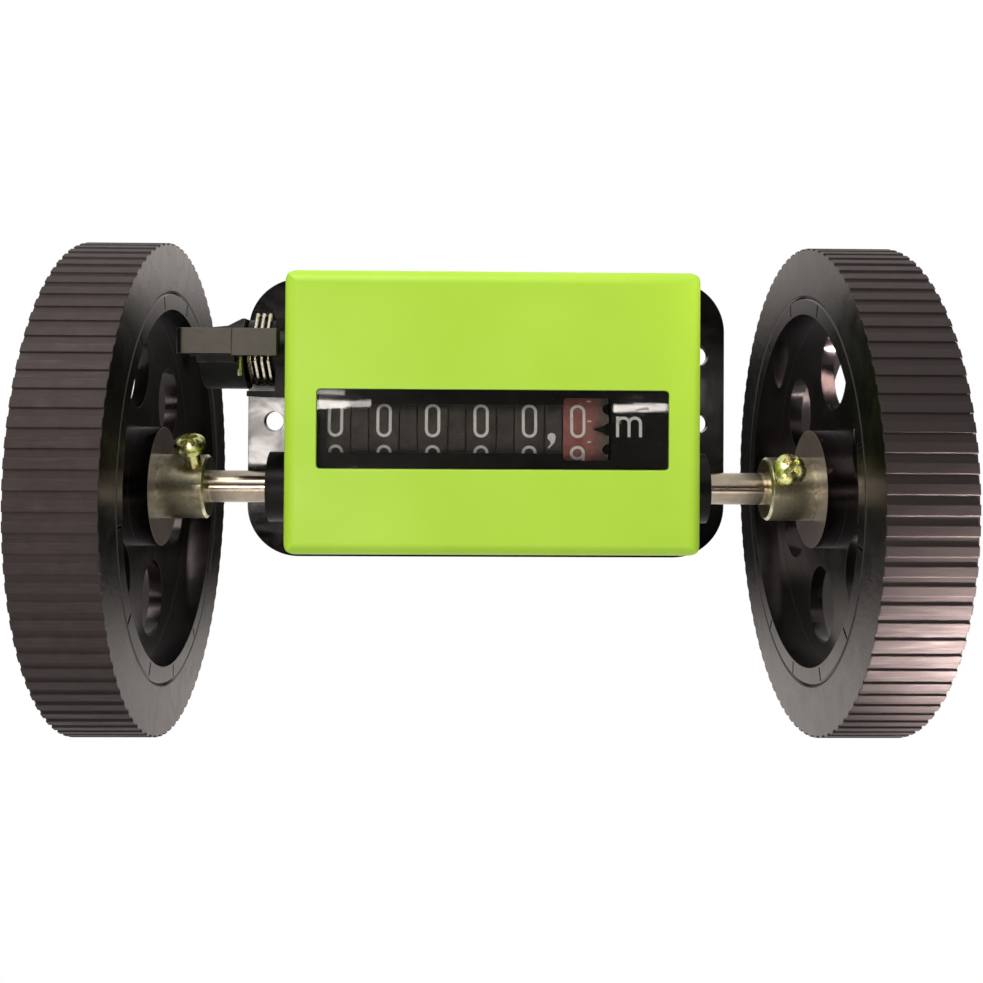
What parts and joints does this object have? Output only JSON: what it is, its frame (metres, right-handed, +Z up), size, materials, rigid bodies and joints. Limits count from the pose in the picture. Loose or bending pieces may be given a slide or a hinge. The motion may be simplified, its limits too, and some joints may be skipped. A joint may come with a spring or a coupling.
{
  "type": "measuring wheel",
  "caption": "Metre counter with two ribbed running wheels on one axle, a six-place number drum behind a window, a reset lever and a base plate to bolt it down.",
  "frame": {"origin": "middle of the axle, halfway between the running wheels", "axes": "+X along the axle to the right as seen from the dial, +Y back towards the base plate, +Z up"},
  "size_m": [0.1714, 0.106, 0.106],
  "materials": {
    "black_plate": "gloss black",
    "black_plastic": "satin black",
    "lime_cover": "satin lime green",
    "clear_lens": "clear",
    "bronze": "sintered",
    "polished_steel": "ground and polished",
    "plain_steel": "plain",
    "plated_collar": "dull olive plating",
    "yellow_zinc": "yellow zinc",
    "wheel_plastic": "moulded dark grey brown",
    "tread_rubber": "ribbed",
    "gear_plastic": "natural acetal",
    "number_black": "satin black with pale digits",
    "number_red": "satin dark red with pale digits",
    "spring_steel": "bright wire"
  },
  "bodies": {
    "counter": {"base_plate": "black_plate", "left_side_plate": "black_plastic", "right_side_plate": "black_plastic", "cover": "lime_cover", "window_lens": "clear_lens", "dial_mask": "black_plastic", "left_bush": "bronze", "right_bush": "bronze", "number_shaft": "polished_steel", "pinion_shaft": "polished_steel", "idler_shaft": "polished_steel", "idler_clip": "plain_steel", "tie_rods": "plain_steel", "reset_bracket": "black_plastic", "chassis_screws": "plain_steel", "cover_screws": "plain_steel", "return_spring": "spring_steel"},
    "axle": {"axle": "polished_steel", "drive_gear": "gear_plastic", "thrust_rings": "plain_steel", "left_collar": "plated_collar", "right_collar": "plated_collar", "left_set_screw": "yellow_zinc", "right_set_screw": "yellow_zinc", "left_wheel_core": "wheel_plastic", "right_wheel_core": "wheel_plastic", "left_tyre": "tread_rubber", "right_tyre": "tread_rubber"},
    "idler": {"idler_gear": "gear_plastic"},
    "tenths_wheel": {"tenths_wheel": "number_red"},
    "units_wheel": {"units_wheel": "number_black"},
    "tens_wheel": {"tens_wheel": "number_black"},
    "hundreds_wheel": {"hundreds_wheel": "number_black"},
    "thousands_wheel": {"thousands_wheel": "number_black"},
    "ten_thousands_wheel": {"ten_thousands_wheel": "number_black"},
    "carry_pinion_1": {"carry_pinion_1": "gear_plastic"},
    "carry_pinion_2": {"carry_pinion_2": "gear_plastic"},
    "carry_pinion_3": {"carry_pinion_3": "gear_plastic"},
    "carry_pinion_4": {"carry_pinion_4": "gear_plastic"},
    "carry_pinion_5": {"carry_pinion_5": "gear_plastic"},
    "reset": {"reset_lever": "black_plastic", "lever_pin": "plain_steel", "reset_shaft": "polished_steel", "reset_hammers": "plain_steel"}
  },
  "joints": [
    {"name": "axle_spin", "type": "hinge", "parent": "counter", "child": "axle", "pos_m": [0, 0, 0], "axis": [1, 0, 0], "continuous": true},
    {"name": "idler_spin", "type": "hinge", "parent": "counter", "child": "idler", "pos_m": [0, -0.00922, 0.01184], "axis": [1, 0, 0], "continuous": true},
    {"name": "tenths_turn", "type": "hinge", "parent": "counter", "child": "tenths_wheel", "pos_m": [0, -0.0226, 0.0136], "axis": [1, 0, 0], "continuous": true},
    {"name": "units_turn", "type": "hinge", "parent": "counter", "child": "units_wheel", "pos_m": [0, -0.0226, 0.0136], "axis": [1, 0, 0], "continuous": true},
    {"name": "tens_turn", "type": "hinge", "parent": "counter", "child": "tens_wheel", "pos_m": [0, -0.0226, 0.0136], "axis": [1, 0, 0], "continuous": true},
    {"name": "hundreds_turn", "type": "hinge", "parent": "counter", "child": "hundreds_wheel", "pos_m": [0, -0.0226, 0.0136], "axis": [1, 0, 0], "continuous": true},
    {"name": "thousands_turn", "type": "hinge", "parent": "counter", "child": "thousands_wheel", "pos_m": [0, -0.0226, 0.0136], "axis": [1, 0, 0], "continuous": true},
    {"name": "ten_thousands_turn", "type": "hinge", "parent": "counter", "child": "ten_thousands_wheel", "pos_m": [0, -0.0226, 0.0136], "axis": [1, 0, 0], "continuous": true},
    {"name": "carry_pinion_1_spin", "type": "hinge", "parent": "counter", "child": "carry_pinion_1", "pos_m": [0, -0.0156, 0.00148], "axis": [1, 0, 0], "continuous": true},
    {"name": "carry_pinion_2_spin", "type": "hinge", "parent": "counter", "child": "carry_pinion_2", "pos_m": [0, -0.0156, 0.00148], "axis": [1, 0, 0], "continuous": true},
    {"name": "carry_pinion_3_spin", "type": "hinge", "parent": "counter", "child": "carry_pinion_3", "pos_m": [0, -0.0156, 0.00148], "axis": [1, 0, 0], "continuous": true},
    {"name": "carry_pinion_4_spin", "type": "hinge", "parent": "counter", "child": "carry_pinion_4", "pos_m": [0, -0.0156, 0.00148], "axis": [1, 0, 0], "continuous": true},
    {"name": "carry_pinion_5_spin", "type": "hinge", "parent": "counter", "child": "carry_pinion_5", "pos_m": [0, -0.0156, 0.00148], "axis": [1, 0, 0], "continuous": true},
    {"name": "reset_press", "type": "hinge", "parent": "counter", "child": "reset", "pos_m": [0, -0.012, 0.0295], "axis": [1, 0, 0], "range_deg": [0, 25], "stiffness_Nm_per_rad": 0.05, "springref_deg": -28.65, "deforming": ["return_spring"]}
  ],
  "couplings": [
    {"joint": "idler_spin", "follows": "axle_spin", "ratio": -0.66667},
    {"joint": "tenths_turn", "follows": "axle_spin", "ratio": 0.33333},
    {"joint": "units_turn", "follows": "axle_spin", "ratio": 0.033333},
    {"joint": "tens_turn", "follows": "axle_spin", "ratio": 0.0033333},
    {"joint": "hundreds_turn", "follows": "axle_spin", "ratio": 0.00033333},
    {"joint": "thousands_turn", "follows": "axle_spin", "ratio": 0.000033333},
    {"joint": "ten_thousands_turn", "follows": "axle_spin", "ratio": 0.0000033333},
    {"joint": "carry_pinion_1_spin", "follows": "axle_spin", "ratio": -0.0000083333},
    {"joint": "carry_pinion_2_spin", "follows": "axle_spin", "ratio": -0.000083333},
    {"joint": "carry_pinion_3_spin", "follows": "axle_spin", "ratio": -0.00083333},
    {"joint": "carry_pinion_4_spin", "follows": "axle_spin", "ratio": -0.0083333},
    {"joint": "carry_pinion_5_spin", "follows": "axle_spin", "ratio": -0.083333}
  ]
}
